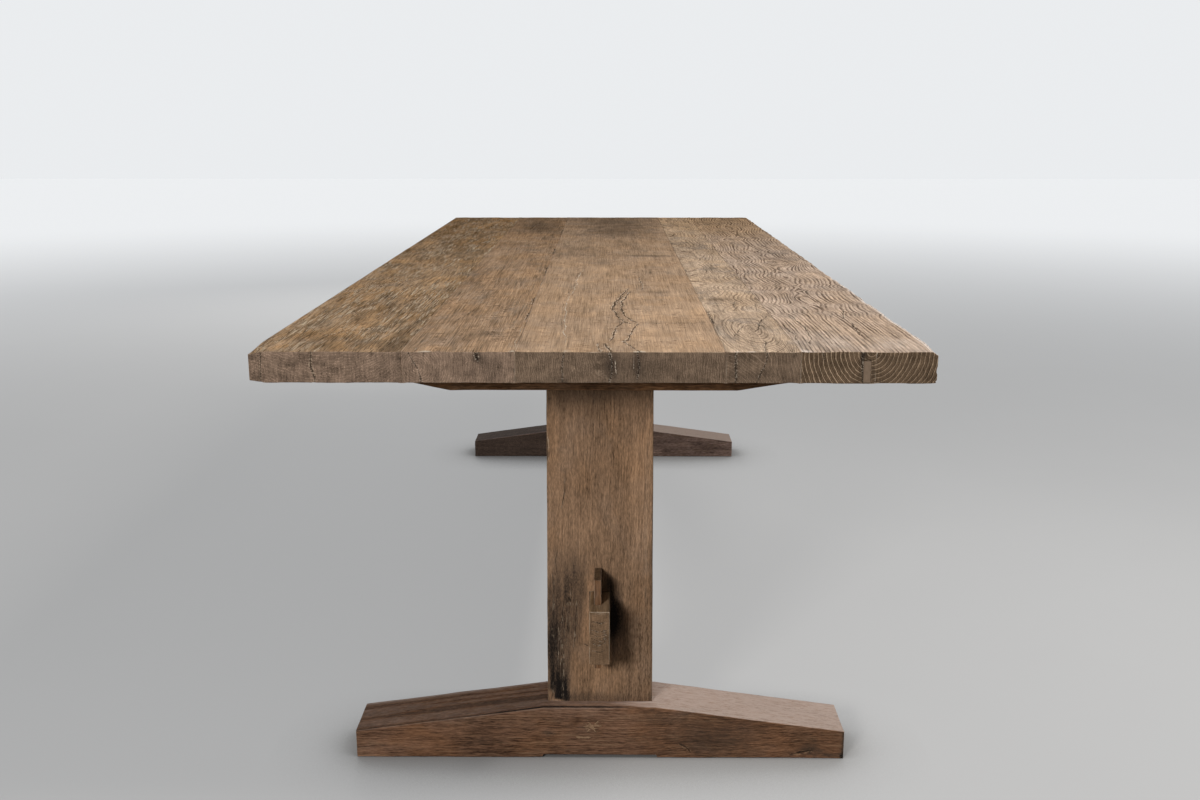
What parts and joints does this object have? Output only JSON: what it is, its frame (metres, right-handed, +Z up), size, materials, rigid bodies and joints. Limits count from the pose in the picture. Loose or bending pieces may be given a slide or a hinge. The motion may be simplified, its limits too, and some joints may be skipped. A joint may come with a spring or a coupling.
{
  "type": "trestle dining table",
  "caption": "Long plank-topped oak dining table on post trestles, tied by a through-tenoned stretcher locked with lift-out tusk wedges.",
  "frame": {"origin": "on the floor, under the middle of the top", "axes": "+Z up, +Y along the top towards the rear trestle, +X across the top"},
  "size_m": [1, 2.4, 0.77],
  "materials": {
    "rough_oak": "rough sawn, weathered, matt",
    "plain_oak": "old planed face with saw marks, matt wax",
    "figured_oak": "open swirling grain, matt wax",
    "pale_oak": "deep straight grain with checks, matt",
    "trestle_oak": "brushed vertical grain, satin wax",
    "foot_oak": "worn, reddish brown, satin wax",
    "wedge_oak": "planed, bruised at the top end",
    "hidden_oak": "planed, unfinished",
    "steel": "zinc plated"
  },
  "bodies": {
    "table": {"top_board_1": "rough_oak", "top_board_2": "plain_oak", "top_board_3": "plain_oak", "top_board_4": "figured_oak", "top_board_5": "pale_oak", "loose_tongue_1": "hidden_oak", "loose_tongue_2": "hidden_oak", "loose_tongue_3": "hidden_oak", "loose_tongue_4": "hidden_oak", "crack_filler": "pale_oak", "stretcher": "trestle_oak", "front_foot": "foot_oak", "front_post": "trestle_oak", "front_bearer": "foot_oak", "front_top_screws": "steel", "front_foot_coach_screw": "steel", "front_bearer_coach_screw": "steel", "rear_foot": "foot_oak", "rear_post": "trestle_oak", "rear_bearer": "foot_oak", "rear_top_screws": "steel", "rear_foot_coach_screw": "steel", "rear_bearer_coach_screw": "steel"},
    "front_wedge": {"front_wedge": "wedge_oak"},
    "rear_wedge": {"rear_wedge": "wedge_oak"}
  },
  "joints": [
    {"name": "front_wedge_lift", "type": "slide", "parent": "table", "child": "front_wedge", "axis": [0, 0, 1], "range_m": [0, 0.13]},
    {"name": "rear_wedge_lift", "type": "slide", "parent": "table", "child": "rear_wedge", "axis": [0, 0, 1], "range_m": [0, 0.13]}
  ]
}
